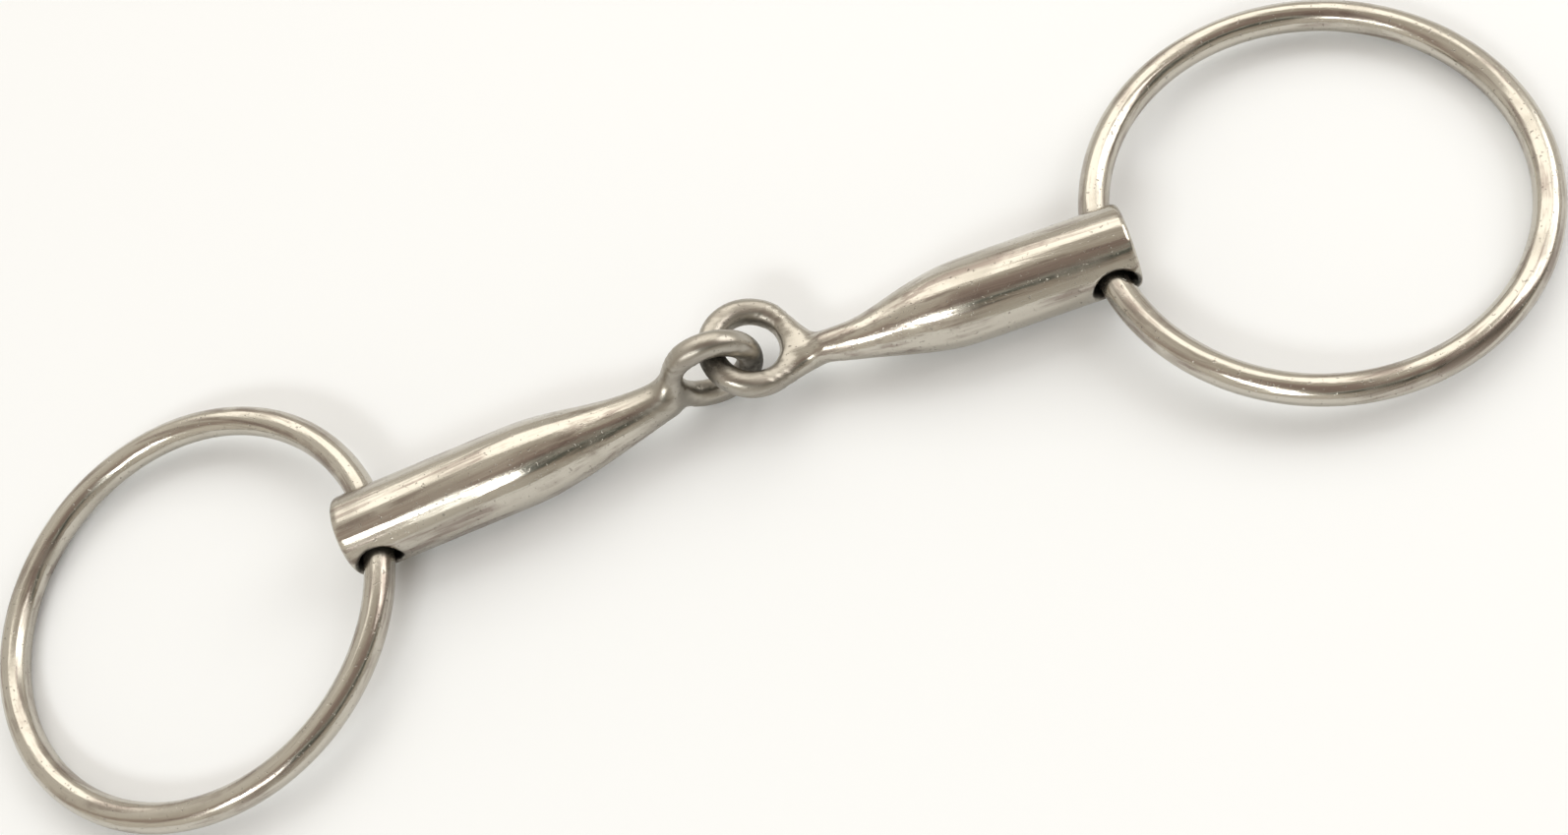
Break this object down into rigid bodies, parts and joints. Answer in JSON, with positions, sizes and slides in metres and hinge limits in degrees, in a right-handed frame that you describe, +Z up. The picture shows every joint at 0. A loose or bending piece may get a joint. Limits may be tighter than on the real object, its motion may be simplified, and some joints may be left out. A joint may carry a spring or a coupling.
{
  "type": "snaffle bit",
  "caption": "Jointed loose-ring snaffle bit of polished steel: tapered mouthpiece arms linked by eyes in the middle, each with a round ring running through its thick end.",
  "frame": {"origin": "on the table the bit lies on, midway between the centres of the two rings", "axes": "+X from the left ring to the right ring, +Z up from the table, +Y away from a viewer who has the left ring on the left"},
  "size_m": [0.278, 0.0766, 0.0183],
  "materials": {
    "arm_steel": "hand-polished stainless steel, warm bright reflections with fine scratches",
    "ring_steel": "polished stainless steel bar, slightly duller than the arms"
  },
  "bodies": {
    "right_arm": {"right_arm": "arm_steel"},
    "left_arm": {"left_arm": "arm_steel"},
    "left_ring": {"left_ring": "ring_steel"},
    "right_ring": {"right_ring": "ring_steel"}
  },
  "joints": [
    {"name": "centre_fold", "type": "hinge", "parent": "right_arm", "child": "left_arm", "pos_m": [-0.00092, 0.00679, 0.01092], "axis": [-0.1235, 0.9853, 0.1181], "range_deg": [-75, 75]},
    {"name": "left_ring_swing", "type": "hinge", "parent": "left_arm", "child": "left_ring", "pos_m": [-0.06536, 0.0019, 0.0072], "axis": [-0.0419, 0.9991, 0], "range_deg": [-90, 90]},
    {"name": "right_ring_swing", "type": "hinge", "parent": "right_arm", "child": "right_ring", "pos_m": [0.06538, 0.00219, 0.0072], "axis": [-0.0227, -0.9997, 0], "range_deg": [-90, 90]}
  ]
}
